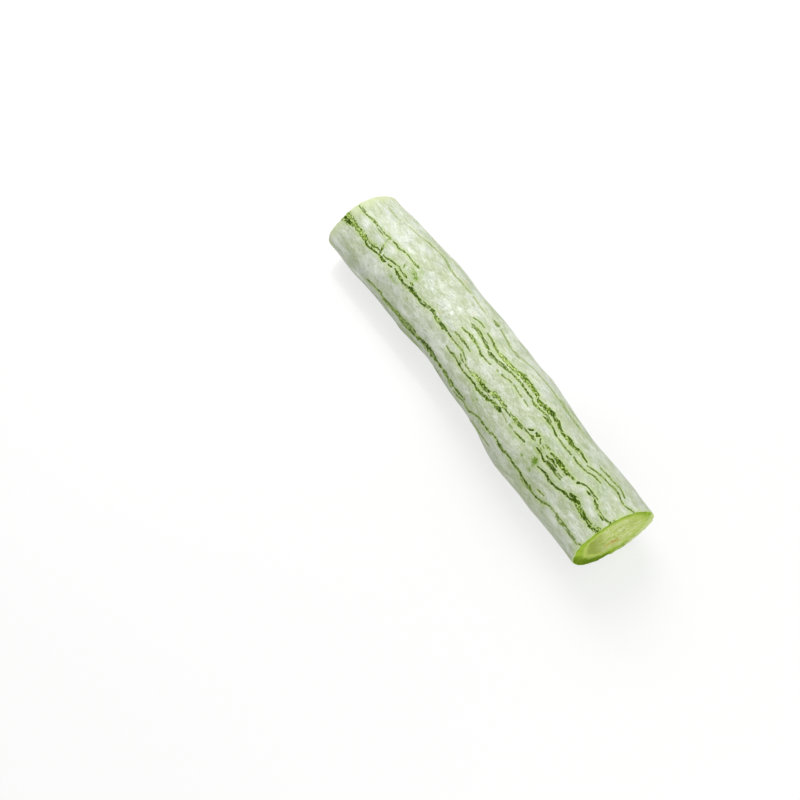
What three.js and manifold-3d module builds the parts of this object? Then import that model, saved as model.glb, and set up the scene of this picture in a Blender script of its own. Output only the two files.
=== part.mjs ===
// A cut length of snake gourd (Trichosanthes cucumerina), lying on its side.
//
// Frame: millimetres, +Z up. The gourd lies along X, with its thicker, flower end at +X.
// The origin is the centre of the bounding box's underside, on the surface that it rests on.
//
// The fruit is one solid. Its skin is a tube of slanting rings about a slightly wandering
// centreline, closed by a flat knife cut at each end. The belly has settled into a narrow
// flat, which keeps the piece from rolling.

import * as THREE from "three";
import { mergeVertices } from "three/addons/utils/BufferGeometryUtils.js";
import Module from "manifold-3d";

const LENGTH = 247; // between the centres of the two cuts
const RINGS = 50; // steps along the length
const SIDES = 56; // steps around each ring

// Outer radius and sideways bend (+Y) of the centreline, at equal steps from stem end to flower end.
const RADII = [23.4, 24.5, 25.1, 25.2, 24.8, 25.8, 26.9, 27.6, 26.8, 26.9, 26.3];
const BENDS = [-1.2, 0.0, 1.5, 2.0, 3.2, 1.8, 1.4, -0.5, -0.4, 0.3, 0.4];

// How far each knife cut leans: the slope of X over Y and over Z across its face.
const STEM_CUT = { overY: 0.07, overZ: -0.083 };
const FLOWER_CUT = { overY: 0.113, overZ: -0.042 };

// Swellings of the skin. Each is a wave with a whole number of lobes around the fruit, and
// a number of turns along its length.
const SWELLINGS = [
  { lobes: 2, turns: 0.7, height: 0.5, phase: 0.4 },
  { lobes: 3, turns: -1.2, height: 0.45, phase: 2.1 },
  { lobes: 5, turns: 2.3, height: 0.28, phase: 4.0 },
  { lobes: 4, turns: -5.1, height: 0.22, phase: 1.0 },
  { lobes: 7, turns: 3.4, height: 0.16, phase: 5.2 },
];

// How deep the rounded belly is pressed flat: a mean depth, and a slow wave along the length.
const BELLY = { depth: 0.62, wave: 0.16, turns: 2.6, phase: 0.9 };

const TURN = 2 * Math.PI;

const { Manifold, Mesh: SolidMesh } = await readyModule();

async function readyModule() {
  const loaded = await Module();
  loaded.setup();
  return loaded;
}

// A smooth function of share, from 0 at the stem end to 1 at the flower end, through
// equally spaced values.
function smoothThrough(values) {
  const last = values.length - 1;
  const curve = new THREE.SplineCurve(
    values.map((value, i) => new THREE.Vector2(i / last, value)),
  );
  return (share) => curve.getPoint(share).y;
}

const radiusAt = smoothThrough(RADII);
const bendAt = smoothThrough(BENDS);

function skinRadius(share, angle) {
  return SWELLINGS.reduce(
    (sum, s) => sum + s.height * Math.cos(s.lobes * angle + TURN * s.turns * share + s.phase),
    radiusAt(share),
  );
}

// The points of one ring, anticlockwise when seen from +X.
function ring(share) {
  const overY = THREE.MathUtils.lerp(STEM_CUT.overY, FLOWER_CUT.overY, share);
  const overZ = THREE.MathUtils.lerp(STEM_CUT.overZ, FLOWER_CUT.overZ, share);
  const around = Array.from({ length: SIDES }, (_, j) => {
    const angle = (TURN * j) / SIDES;
    const radius = skinRadius(share, angle);
    return { y: radius * Math.cos(angle), z: radius * Math.sin(angle) };
  });
  const lowest = Math.min(...around.map((p) => p.z));
  const pressed = BELLY.depth + BELLY.wave * Math.sin(TURN * BELLY.turns * share + BELLY.phase);
  return around.map(
    ({ y, z }) =>
      new THREE.Vector3(
        LENGTH * (share - 0.5) + overY * y + overZ * z,
        bendAt(share) + y,
        z - lowest - pressed,
      ),
  );
}

// The closed skin: rings joined by quads, and a fan on the centre of each cut.
function skinGeometry() {
  const rings = Array.from({ length: RINGS + 1 }, (_, i) => ring(i / RINGS));
  const points = rings.flat();
  const faces = [];
  const corner = (i, j) => i * SIDES + (j % SIDES);
  for (let i = 0; i < RINGS; i++) {
    for (let j = 0; j < SIDES; j++) {
      faces.push(corner(i, j), corner(i + 1, j + 1), corner(i + 1, j));
      faces.push(corner(i, j), corner(i, j + 1), corner(i + 1, j + 1));
    }
  }
  for (const i of [0, RINGS]) {
    const centre = points.length;
    const sum = rings[i].reduce((total, p) => total.add(p), new THREE.Vector3());
    points.push(sum.divideScalar(SIDES));
    for (let j = 0; j < SIDES; j++) {
      const edge = i === 0 ? [corner(i, j + 1), corner(i, j)] : [corner(i, j), corner(i, j + 1)];
      faces.push(centre, ...edge);
    }
  }
  return new THREE.BufferGeometry().setFromPoints(points).setIndex(faces);
}

function solidOf(geometry) {
  return new Manifold(
    new SolidMesh({
      numProp: 3,
      vertProperties: geometry.getAttribute("position").array,
      triVerts: new Uint32Array(geometry.getIndex().array),
    }),
  );
}

function geometryOf(solid) {
  const { vertProperties, triVerts } = solid.getMesh();
  return new THREE.BufferGeometry()
    .setAttribute("position", new THREE.BufferAttribute(vertProperties, 3))
    .setIndex(new THREE.BufferAttribute(triVerts, 1));
}

// A block that fills the space under the resting surface.
function tableBlock() {
  const side = 2 * LENGTH;
  const block = new THREE.BoxGeometry(side, side, side);
  block.translate(0, 0, -side / 2);
  block.deleteAttribute("normal");
  block.deleteAttribute("uv");
  return mergeVertices(block);
}

// Puts the middle of the geometry's bounding box over the origin, leaving its height alone.
function centreOverOrigin(geometry) {
  geometry.computeBoundingBox();
  const middle = geometry.boundingBox.getCenter(new THREE.Vector3());
  return geometry.translate(-middle.x, -middle.y, 0);
}

const pressedFlat = solidOf(skinGeometry()).subtract(solidOf(tableBlock()));
const gourd = new THREE.Mesh(
  centreOverOrigin(geometryOf(pressedFlat)),
  new THREE.MeshStandardMaterial({ color: 0xcdd6bd, roughness: 0.5, metalness: 0 }),
);
gourd.name = "snake_gourd";

const part = new THREE.Group();
part.add(gourd);

export default part;
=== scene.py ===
"""The looks of a cut length of snake gourd that lies on its side.

The skin and the two cut faces are dense meshes, laid over the CAD solid. The skin has seeded
lumps, a shallow furrow along each stripe and procedural wax, streaks and stripes. Each cut
face has a firm green rim and a spongy core with slits.

The gourd's lengths are millimetres, and become metres where they meet Blender. Those of the
floor, the lamps and the camera are metres.
"""

import math

import bpy
import numpy as np
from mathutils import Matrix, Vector, noise
from mathutils.bvhtree import BVHTree


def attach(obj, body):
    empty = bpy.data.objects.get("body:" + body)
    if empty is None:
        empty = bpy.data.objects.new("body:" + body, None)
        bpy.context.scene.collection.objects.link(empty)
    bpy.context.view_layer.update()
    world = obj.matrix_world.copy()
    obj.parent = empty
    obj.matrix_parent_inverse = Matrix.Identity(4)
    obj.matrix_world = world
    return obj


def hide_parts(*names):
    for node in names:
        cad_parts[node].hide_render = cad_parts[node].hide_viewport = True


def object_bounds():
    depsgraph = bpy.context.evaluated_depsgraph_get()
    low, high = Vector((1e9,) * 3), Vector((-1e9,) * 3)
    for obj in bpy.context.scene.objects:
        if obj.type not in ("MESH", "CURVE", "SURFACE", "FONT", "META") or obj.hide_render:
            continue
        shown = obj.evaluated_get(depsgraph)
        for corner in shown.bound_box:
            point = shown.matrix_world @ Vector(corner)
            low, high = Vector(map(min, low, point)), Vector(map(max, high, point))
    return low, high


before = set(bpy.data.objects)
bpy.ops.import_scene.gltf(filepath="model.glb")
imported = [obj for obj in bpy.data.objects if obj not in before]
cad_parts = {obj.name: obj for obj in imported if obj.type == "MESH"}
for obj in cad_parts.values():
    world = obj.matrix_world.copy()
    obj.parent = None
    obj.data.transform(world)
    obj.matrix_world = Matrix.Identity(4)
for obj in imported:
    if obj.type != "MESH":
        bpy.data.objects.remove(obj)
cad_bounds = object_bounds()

MM = 0.001
TURN = 2 * math.pi
NODE = "snake_gourd"
BODY = "root"

# ---------------------------------------------------------------- sizes of the meshes
# the centres of the two cuts, on the scale that stripes are drawn by
STEM_AT, FLOWER_AT = 3.0, 250.0
LENGTH = FLOWER_AT - STEM_AT
ROWS = 344  # steps along the skin
COLUMNS = 228  # steps around the skin
CAST_ROWS = 50  # coarse steps at which the CAD surface is read
CAST_COLUMNS = 76
CUT_MARGIN = 0.0008  # the first and last ring are read this share of the length inside the cuts

# ---------------------------------------------------------------- relief of the skin
# (wavelength along, wavelength around, height) of each layer of lumps
LUMPS = [
    (46.0, 24.0, 0.4), (22.0, 13.0, 0.38), (13.0, 26.0, 0.3), (12.0, 7.0, 0.3), (6.5, 4.0, 0.12),
    (5.0, 1.7, 0.05),
]
FURROW = {"depth": 0.16, "reach": 1.1}  # a shallow valley along each stripe
BELLY_FLAT, BELLY_KEPT = 0.2, 2.0  # the relief fades in between these heights, so that the belly stays flat
ROUNDING = {"depth": 0.16, "reach": 0.7}  # the skin draws in at each rim
RIM_STEPS = (0.3, 0.8)  # the rows nearest to each cut lie this far from it
# How far each rim strays along the fruit, in wide and fine waves, and how far in the skin follows it.
UNEVEN = {"wide": 0.35, "fine": 0.2, "reach": 2.5}

# ---------------------------------------------------------------- stripes
# The stripes of the upper side, drawn on a plane that is tilted by SHOWN_TILT about the length
# of the fruit.
SHOWN_TILT = math.radians(13.3)
LAYERS = 6
REACH = 1.3  # how far outside its edge a stripe's own distance is kept
HALO = 2.6  # how far the greener wax beside a stripe reaches
LEAST_FACING = 0.45  # where the skin turns away from the plane, widths grow to 1 / this at most
STRIPE_END = 0.5  # how far a stripe runs on, while it narrows, past its first and last point
NARROWING = 0.9  # the stretch over which a stripe narrows to its end
LOOK_AHEAD = 0.5  # the step along the fruit that a stripe's slant is measured over
ABSENT = -10.0  # the half-width that says that no stripe is near
FAR_OFF = 9.0  # the distance that goes with it

# Each stripe is (strength, fill, points), and each point is (distance along, distance across, width).
# A wide stripe has dark edges. Its inside is pale at fill 0 and dark green at fill 1.
STRIPES = [
    # the main band, from the stem cut
    (1, 0.35, [(-3, -6.6, 5.2), (6, -6.8, 5), (8.5, -6.3, 3.4), (11, -5.7, 1.8)]),
    (0.9, 0.9, [(1, -7.5, 0.8), (6, -7.5, 1.8), (8, -6.6, 0.9)]),
    (1, 0.35, [(10.5, -5.9, 2), (14, -6, 2.4), (20, -6, 2.6), (22.5, -6.2, 1.8)]),
    (0.95, 0.5, [(22.5, -5.4, 0.6), (28, -5.3, 0.8), (31, -4.1, 0.7), (34, -3.6, 0.6)]),
    (1, 0.8, [(22, -7, 0.8), (24, -7.7, 1.2), (28, -7.1, 0.9), (36, -5.8, 0.9), (40, -5.6, 1.3),
        (41.5, -5.2, 0.7)]),
    (1, 0.6, [(43.5, -5, 0.6), (46.5, -4.4, 0.9)]),
    (1, 0.8, [(48, -3.5, 0.7), (51, -3.9, 1.3), (57.5, -4.8, 1.2), (60, -4.8, 0.9), (63, -4.4, 1.5)]),
    (1, 0.9, [(63, -4, 1.5), (67, -3.5, 2.3), (71.5, -3.5, 1.2), (73.5, -3.6, 1.8), (76, -3.8, 0.8)]),
    (1, 0.9, [(76, -3.8, 0.7), (78, -3.5, 0.9), (80, -2.2, 1.5), (81.5, -1.7, 1.5)]),
    (0.8, 0.3, [(75.5, -2.5, 0.5), (79, -2, 0.7)]),
    (0.95, 0.6, [(82, -1.9, 1.7), (84.5, -1.2, 1.4), (86.5, -1.7, 0.7)]),
    (0.95, 0.6, [(86.5, -2.4, 0.8), (89, -2.4, 1.7), (92, -2.3, 1.9)]),
    (0.95, 0.9, [(92, -2.4, 1.2), (94, -2.6, 2), (96.5, -2.3, 1.7), (99, -2, 0.7)]),
    (0.95, 0.5, [(100, -2.2, 0.8), (102.5, -2.6, 0.8), (105.5, -2.5, 0.5)]),
    (0.9, 0.4, [(106.5, -2.4, 0.5), (110.5, -2.3, 0.8), (114.5, -2.3, 0.7), (118, -3.5, 0.5),
        (120, -4, 0.4)]),
    (0.85, 0.3, [(115, -4.1, 0.4), (118.5, -5.6, 0.7), (120.5, -5.6, 0.5)]),
    (0.85, 0.3, [(121.5, -5.7, 0.5), (123, -6, 0.9), (125.5, -5.7, 0.5)]),
    (0.95, 0.3, [(126.5, -6.2, 0.9), (130, -5.7, 1.7), (134, -5.1, 2.1), (136.5, -5.1, 2)]),
    (1, 0.8, [(136, -5.2, 1.6), (139, -5.4, 2), (141.5, -5.4, 2.1), (144.5, -5, 1.5)]),
    (0.95, 0.25, [(144.5, -4.4, 1.4), (146.5, -3.7, 2.2), (149.5, -3, 2.4), (152.5, -2.7, 1.5)]),
    (0.9, 0.25, [(153, -3.2, 1.5), (156, -3.2, 2), (159.5, -3.5, 1.1)]),
    (0.9, 0.8, [(155, -2.9, 0.6), (157, -2.7, 1.1), (158.5, -2.4, 0.6)]),
    (0.9, 0.4, [(158.5, -4, 0.6), (164, -3.8, 0.7)]),
    (0.8, 0.3, [(162, -2.8, 0.4), (165, -2.9, 0.5)]),
    (0.95, 0.5, [(165, -3, 1.2), (168, -3.3, 1.8), (170.5, -3.4, 1.6), (174, -3.4, 0.7)]),
    (0.85, 0.3, [(170, -2.4, 0.5), (177, -1.9, 0.6), (179, -1.8, 0.5)]),
    (0.95, 0.6, [(180, -1.7, 0.9), (182, -1.7, 1.6), (184.5, -1.5, 1)]),
    # the strand above it, near the stem cut, and the link between them
    (1, 0.9, [(31.8, 0, 0.6), (33, -1.8, 1.3), (34.8, -4.4, 0.9)]),
    (0.6, 0.5, [(31, 5, 0.5), (31.7, 1.4, 0.6)]),
    (0.95, 0.5, [(36.5, -3.9, 0.7), (39.5, -3.7, 0.7), (42, -2.5, 0.9), (45.5, -1.9, 0.8),
        (48, -1.3, 0.6)]),
    (0.9, 0.4, [(49, -0.8, 0.5), (53, -1.7, 0.5)]),
    (1, 0.7, [(53.5, -1.5, 0.5), (57, -1.4, 1.1), (58.5, -1.5, 0.5)]),
    (0.95, 0.7, [(61.8, -1.4, 0.6), (63, -1.3, 1.2), (64.3, -1.2, 0.7)]),
    (0.7, 0.4, [(50, 2.8, 0.6), (51.7, 0.8, 0.7)]),
    # two fine lines above
    (0.85, 0.3, [(4, 4, 0.5), (8, 3.8, 0.6)]),
    (0.85, 0.4, [(2, 3, 0.4), (7, 2.8, 0.6), (11, 3.4, 0.8), (17.5, 4.3, 1), (20.5, 4.1, 0.8)]),
    (0.8, 0.3, [(20.5, 4.7, 0.4), (27, 4.6, 0.6), (30.5, 5.4, 1.2), (32, 5.3, 0.6)]),
    (0.75, 0.3, [(21.5, 3.3, 0.5), (26.5, 3.4, 0.5)]),
    (0.95, 0.4, [(34, 5.7, 0.6), (37.5, 6.1, 0.8), (39.3, 5.6, 1.1), (42.5, 6.9, 0.6), (47, 7.5, 0.6),
        (51.5, 7.3, 0.5)]),
    (0.85, 0.4, [(51.5, 7.3, 0.5), (56.5, 7.7, 0.9), (58, 7.7, 0.4)]),
    # the faint upper line
    (0.5, 0.2, [(12, 16.2, 0.4), (18, 16.3, 0.6), (23, 17.1, 0.4)]),
    (0.5, 0.2, [(29, 19, 0.4), (36, 20, 0.6), (42, 21.4, 0.6)]),
    (0.7, 0.3, [(42, 21.4, 0.5), (49, 22.6, 0.8), (56, 23.4, 0.7), (60.5, 23.4, 0.9), (67, 22.5, 0.9),
        (71.5, 22.2, 0.7)]),
    (0.6, 0.3, [(71.5, 22.2, 0.7), (79, 22.8, 0.6), (86, 23.1, 0.4)]),
    (0.5, 0.2, [(88, 23.1, 0.4), (95, 22.3, 0.6), (101, 22.6, 0.4)]),
    (0.75, 0.8, [(107, 23.8, 0.5), (110.5, 23.7, 1.4), (112.5, 23.6, 0.8)]),
    (0.7, 0.4, [(114, 23.6, 0.4), (122, 22.6, 0.8), (128.5, 21.2, 0.9), (137, 21.5, 0.6)]),
    (0.65, 0.3, [(131, 21.9, 0.4), (140.5, 23, 0.5), (151, 24.2, 0.6), (160, 24.4, 0.5)]),
    (0.7, 0.3, [(160, 24.4, 0.5), (172, 24, 0.7), (181, 23.4, 0.7), (194, 23, 0.3)]),
    (0.7, 0.3, [(177, 25.8, 0.3), (184, 25.5, 0.6), (189, 25.2, 0.3)]),
    # the lower, darker band
    (0.95, 0.4, [(37.5, -20.1, 0.4), (42.5, -19.1, 0.7), (48, -18.9, 0.7), (52, -18.2, 0.7)]),
    (0.95, 0.5, [(51, -18.9, 0.6), (55.5, -19.4, 1.1), (62, -19, 1.2)]),
    (1, 0.5, [(61, -19, 1.2), (65, -18.7, 1.9), (68, -18.5, 1.9), (74, -19.3, 1.5), (81, -18.4, 1.4),
        (88, -18.3, 1)]),
    (0.9, 0.4, [(64, -18.4, 1.3), (74, -18.6, 1.8), (88, -18, 1.8)]),
    (1, 0.5, [(66.5, -17.7, 0.6), (74, -17.6, 0.8), (80, -16.9, 1), (84.5, -17, 0.7)]),
    (1, 0.7, [(87.5, -17.6, 1.4), (92, -17.1, 2.3), (97, -16.7, 2.6), (101.5, -17.1, 2.1)]),
    (1, 1, [(88.5, -17.3, 0.8), (93.5, -16.6, 1.4), (99, -16.2, 1)]),
    (1, 0.8, [(101, -17, 2), (104, -17.2, 1.5), (106.5, -17.2, 1)]),
    (1, 0.8, [(107, -17.2, 1), (110, -17.3, 1.4), (111.5, -17.4, 0.8)]),
    (0.95, 0.6, [(112.5, -17.4, 1.1), (116, -17.8, 1.8), (118.5, -18, 1.3)]),
    (0.9, 0.3, [(118.5, -18.3, 1.2), (122.5, -19.2, 1.8), (124.5, -19.4, 1)]),
    (1, 0.7, [(120.5, -17.8, 0.6), (123, -18.1, 0.9), (125, -18.4, 0.6)]),
    (1, 0.6, [(126.3, -18.5, 0.7), (128, -18.7, 1.1), (133, -18.7, 0.8), (136.5, -18.5, 0.8)]),
    (0.95, 0.4, [(126, -20.1, 0.5), (132, -20.2, 0.8), (135, -19.8, 0.5), (141, -20.4, 0.9),
        (147.5, -19.2, 0.9)]),
    (0.9, 0.4, [(147.5, -19.2, 0.8), (150, -18.4, 0.6), (152.5, -18.2, 0.5)]),
    (0.95, 0.7, [(153, -18.6, 0.8), (154.5, -18.5, 1.1), (156.5, -18.4, 0.7)]),
    (0.95, 0.6, [(157.5, -18.5, 0.6), (159, -18.6, 1.1), (160.5, -18.5, 0.9)]),
    (0.9, 0.5, [(161.5, -18.6, 0.7), (162.5, -18.6, 1.3), (164, -18, 0.8)]),
    (0.95, 0.5, [(165, -17.9, 0.6), (169, -18.3, 0.8)]),
    (1, 0.7, [(169, -18.7, 0.7), (172, -18.9, 1.4), (174, -19.1, 1.5), (179, -18.9, 0.8), (182.5, -19, 1)]),
    (1, 0.7, [(182.5, -19, 1), (186.5, -19.5, 0.8), (190, -19.5, 1.1), (195, -20.3, 0.9),
        (199.5, -20.5, 1)]),
    (0.85, 0.3, [(192, -20.6, 0.5), (197, -21.8, 0.6), (200.5, -21.7, 0.5)]),
    (0.95, 0.6, [(199.5, -20.6, 1.3), (201.5, -20.7, 1.8), (203, -20.8, 1.1)]),
    (0.85, 0.4, [(203, -20.9, 0.6), (206, -20.8, 0.6)]),
    (0.95, 0.8, [(206.5, -20.7, 0.8), (207.3, -20.7, 1.2), (208.2, -20.5, 0.6)]),
    (0.95, 0.5, [(209, -20.4, 0.7), (212.7, -19.4, 1), (215.3, -18.1, 0.8), (218, -17.4, 0.5)]),
    (0.9, 0.4, [(219, -17.5, 0.9), (221.5, -17.5, 0.7)]),
    (0.9, 0.6, [(222.8, -17.4, 0.6), (224.2, -17.6, 1.4), (226, -17.5, 0.7)]),
    (0.9, 0.4, [(226.8, -17.5, 0.6), (228, -17.5, 0.9), (233, -17.4, 0.5)]),
    (0.85, 0.3, [(225, -18.3, 0.5), (227, -18.7, 0.8), (231.5, -18.3, 0.5)]),
    (0.8, 0.3, [(234, -17.4, 0.5), (237, -17.9, 0.5), (242, -18, 0.6)]),
    (0.8, 0.3, [(233.5, -18.5, 0.4), (240, -18.8, 0.5), (244.5, -18.9, 0.4)]),
    (0.85, 0.3, [(244.5, -18, 0.4), (248, -17.2, 0.6), (254, -16.7, 0.6)]),
    (0.85, 0.4, [(205, -17.5, 0.4), (210.7, -16.7, 0.5)]),
    (0.8, 0.3, [(78, -20.9, 0.4), (88, -20.4, 0.8), (98, -20.1, 0.8), (107, -20.3, 0.6),
        (113, -20.8, 0.4)]),
    (0.75, 0.3, [(138, -22.7, 0.4), (146, -22.9, 0.8), (156, -23, 0.8), (166, -23.5, 0.4)]),
    # the line between the main band and the lower band
    (0.9, 0.4, [(104.5, -7.6, 0.5), (108.5, -8, 0.6)]),
    (0.9, 0.6, [(109.5, -8, 0.7), (112, -7.6, 1.4), (115, -7.7, 0.8), (117.5, -8.3, 0.6)]),
    (1, 0.8, [(117.5, -8.4, 0.7), (119.5, -8.6, 1.1), (120.5, -8.8, 0.7)]),
    (1, 0.6, [(121, -8.9, 0.7), (125.5, -9, 0.8), (132, -8.6, 0.8), (134.5, -8.5, 0.9)]),
    (1, 0.8, [(134.5, -8.6, 0.8), (137, -9, 1.4), (140.5, -9, 1.2), (143, -8.7, 1.4), (145.5, -8.1, 1.1)]),
    (1, 0.9, [(145, -8, 0.9), (147, -8.2, 1.6), (148.2, -8, 1.3)]),
    (1, 0.6, [(148, -7.6, 1), (150.5, -6.8, 1.7), (155.5, -6.6, 1.9), (158, -6.8, 1.7)]),
    (1, 1, [(155, -6.3, 0.8), (157, -6.6, 1.3), (158, -6.8, 1.1)]),
    (0.6, 0.2, [(159.5, -6.5, 0.4), (165.5, -7.7, 0.7)]),
    (0.65, 0.3, [(167, -7.5, 0.7), (170.5, -7.6, 0.8)]),
    (0.95, 0.6, [(172, -7.9, 0.5), (175.5, -7.4, 0.8), (178.5, -7.1, 0.8)]),
    (1, 0.8, [(179, -6.9, 0.7), (180, -6.8, 1), (181, -6.8, 0.7)]),
    # four bands that begin together near the middle: the highest
    (0.9, 0.5, [(100.8, 15, 0.5), (103, 15.8, 0.7), (106, 16.4, 0.8), (109.5, 16.2, 0.5)]),
    (0.95, 0.5, [(113.5, 15.6, 0.5), (119.5, 15, 0.9), (125.5, 13.6, 0.9), (128.5, 13.4, 0.9)]),
    (1, 0.25, [(128, 13.3, 1), (134, 13.8, 1.8), (139, 14, 1.8), (143, 14.4, 1.9)]),
    (1, 0.35, [(144.5, 15, 1.6), (148, 15.9, 2.4), (156, 16, 2.4), (161.5, 15.8, 2.2), (164, 15.2, 1.2)]),
    (1, 0.7, [(146, 16.3, 0.8), (151.5, 16.4, 1.3), (157, 16.7, 0.9), (164, 16.4, 0.4)]),
    (0.95, 0.5, [(162, 15.4, 0.8), (164.5, 14.9, 1), (166, 14.6, 0.6)]),
    (1, 0.6, [(165.5, 13.9, 0.9), (168, 14.3, 1.9), (172, 15, 2.2), (176, 15.7, 2.4), (179, 15.6, 1.4)]),
    (1, 1, [(173.5, 15.9, 0.8), (176.8, 16.5, 1.3), (178.7, 16.6, 0.6)]),
    (1, 0.8, [(179.5, 15.2, 1.6), (182, 15.4, 2), (185.5, 14.6, 1.7), (187.5, 13.9, 1)]),
    (1, 0.8, [(188, 13.9, 1), (190, 13.4, 1.5), (192.5, 13.1, 1)]),
    (1, 0.4, [(191.5, 13.8, 1.5), (194.5, 13.9, 1.9), (200, 13.6, 1.6), (202, 13.6, 1)]),
    (1, 0.8, [(192.5, 14.6, 0.6), (195, 14.7, 0.9), (200, 14.1, 0.8)]),
    (1, 0.8, [(200, 14.1, 0.9), (204, 14.6, 1.1), (208, 14.3, 1), (211.5, 14, 0.9)]),
    (0.65, 0.5, [(203, 12.8, 0.5), (206, 12.9, 0.4)]),
    # the second
    (0.95, 0.4, [(103.8, 11.7, 0.5), (107.8, 12.5, 0.7), (111, 12.7, 0.8), (114, 11.9, 0.6),
        (119.7, 11.8, 0.4)]),
    (0.9, 0.5, [(105.5, 10.8, 0.5), (109, 11.7, 0.7), (112, 11.6, 1.1), (118.5, 10.5, 0.5)]),
    (1, 0.7, [(119.3, 10.5, 0.9), (121.5, 10.5, 1.4), (123.5, 10.3, 0.6)]),
    (0.85, 0.5, [(124, 9.2, 0.5), (127, 8.6, 0.9), (129, 8.4, 0.5)]),
    (1, 0.4, [(125, 9.8, 0.5), (127.5, 9.7, 0.9), (130, 9.7, 0.7), (135, 10.9, 0.7), (141, 11.2, 0.9),
        (144.5, 12, 0.7)]),
    (1, 0.4, [(144.5, 12, 0.7), (151.5, 12.6, 0.8), (155, 12.4, 0.8), (159.5, 12.1, 0.6),
        (163.5, 12.2, 0.6)]),
    (0.8, 0.4, [(130, 9, 0.4), (133.7, 9.4, 0.7), (139.3, 10.3, 0.5)]),
    (0.95, 0.4, [(164, 11.5, 0.6), (166.7, 11.2, 0.9), (173, 12.1, 0.7), (176.5, 12.7, 0.9),
        (181, 12.3, 0.4)]),
    (1, 0.5, [(175.5, 10.8, 0.6), (178.7, 11.1, 0.9), (184.5, 11, 0.6), (188, 10.1, 0.7), (190, 9.8, 0.4)]),
    (0.85, 0.3, [(190.5, 9.8, 0.4), (196, 9.5, 0.7), (203.5, 9.5, 0.5)]),
    (0.9, 0.3, [(205, 10, 0.8), (210.5, 9.6, 0.8), (215.5, 10.4, 0.6), (221, 12.4, 0.7), (226, 12.9, 0.4)]),
    # the third
    (0.95, 0.5, [(102.5, 6, 0.7), (104, 6, 0.7), (107, 6.5, 0.7)]),
    (0.95, 0.5, [(107.5, 6.7, 0.8), (109.5, 6.9, 1.2), (116, 6.5, 1.1), (119.3, 6.2, 0.8)]),
    (0.95, 0.5, [(119.3, 6.2, 0.8), (121.5, 5.3, 0.8), (123.5, 4.8, 1.1), (125, 5.1, 0.6)]),
    (0.85, 0.3, [(125.5, 5.1, 0.4), (129.5, 5.2, 0.6), (132, 5.7, 0.5)]),
    (0.75, 0.5, [(136.8, 6.3, 0.5), (137.6, 6.3, 1), (138.3, 6.3, 0.5)]),
    (0.8, 0.3, [(140.2, 6.6, 0.7), (144, 7.4, 0.5), (146.3, 8.2, 0.6), (148.6, 8.5, 0.5)]),
    (0.8, 0.3, [(150, 8.5, 0.6), (153.5, 8.3, 0.5), (156, 7.9, 0.5)]),
    (0.8, 0.3, [(157, 7.7, 0.5), (159.4, 7.8, 0.7)]),
    (0.75, 0.3, [(160.8, 7.9, 0.5), (164.5, 7.6, 0.5), (166, 7.3, 0.4)]),
    # and the lowest
    (0.85, 0.4, [(102, 1.3, 0.5), (104.5, 1.5, 0.8), (106.3, 1.5, 0.6)]),
    (0.9, 0.5, [(107.5, 1.3, 0.7), (109, 1.4, 1.1), (113, 1.7, 0.9)]),
    (0.85, 0.4, [(114, 1.4, 0.7), (114.8, 1.4, 1), (115.3, 1.3, 0.5)]),
    (0.85, 0.4, [(116, 1.3, 0.5), (117.5, 1, 0.8)]),
    # the broken cluster past the middle
    (1, 0.9, [(176.5, -0.5, 0.6), (178.3, 0.9, 1.3), (179.3, 1.6, 0.8)]),
    (1, 0.8, [(180.7, 2, 0.8), (182.4, 1.5, 1.7), (184.2, 2, 0.7)]),
    (0.95, 0.7, [(185.3, 1.6, 0.6), (186.4, 0.6, 1), (187.8, -0.1, 0.6)]),
    (0.9, 0.6, [(189.5, 0, 0.5), (191, -0.5, 0.6)]),
    (0.9, 0.4, [(189.8, 1.7, 0.5), (192.3, 1.7, 0.7), (194, 1.8, 0.5)]),
    (0.95, 0.7, [(195, 1.2, 1), (197, 1.5, 1.2), (199.3, 1, 0.9)]),
    (1, 0.6, [(199, 1.6, 1.8), (205.5, 1.6, 2.1), (211.5, 1.5, 1.5), (214, 2.2, 1.1), (216.5, 2.1, 0.9)]),
    (1, 0.9, [(199.3, 2.2, 0.7), (201.5, 2.3, 1), (205.5, 2.3, 0.7)]),
    (1, 0.8, [(195, -1.7, 0.7), (197.3, -1.6, 1.1), (199.7, -0.9, 1.4), (202, -1.2, 0.9),
        (204.3, -1.1, 0.6)]),
    (1, 0.9, [(188, -3.3, 0.8), (190, -3.2, 1.1), (194, -3.8, 0.9), (195.5, -4.5, 1.1), (197, -4.4, 1.2)]),
    (1, 0.9, [(197, -4.2, 1.2), (198.5, -3.6, 1.6), (200, -4.1, 1.4), (202, -3.8, 1),
        (204.2, -3.6, 1.2), (206, -4.1, 0.9)]),
    (0.95, 0.5, [(198, -2.7, 0.5), (202, -2.9, 0.7), (205.5, -2.7, 0.6)]),
    (0.9, 0.5, [(206.5, -4.3, 0.8), (211, -3.9, 0.5)]),
    (0.85, 0.4, [(207, -3, 0.5), (210.8, -2.6, 0.4)]),
    # the band from the cluster to the flower cut
    (1, 0.8, [(217.7, 2.4, 0.7), (219.4, 3.6, 1.2), (220.2, 4.3, 0.8), (222, 5.1, 0.8), (224, 5.6, 0.6)]),
    (1, 0.8, [(225, 5.8, 0.8), (227, 5.8, 1.1), (230.5, 5.8, 0.6), (233.3, 5.8, 0.4)]),
    (1, 0.9, [(225.6, 4, 0.6), (227, 3.9, 1), (228.5, 4, 0.5)]),
    (0.6, 0.3, [(229, 4.6, 0.4), (232, 4.5, 0.5)]),
    (1, 0.8, [(232, 4.4, 0.6), (233.7, 3.6, 1.1), (235.7, 3.1, 1.4), (237.5, 1.9, 1)]),
    (0.95, 0.3, [(237.5, 1.9, 1.2), (240.5, 1.7, 1.7), (244, 1.7, 1)]),
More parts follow.
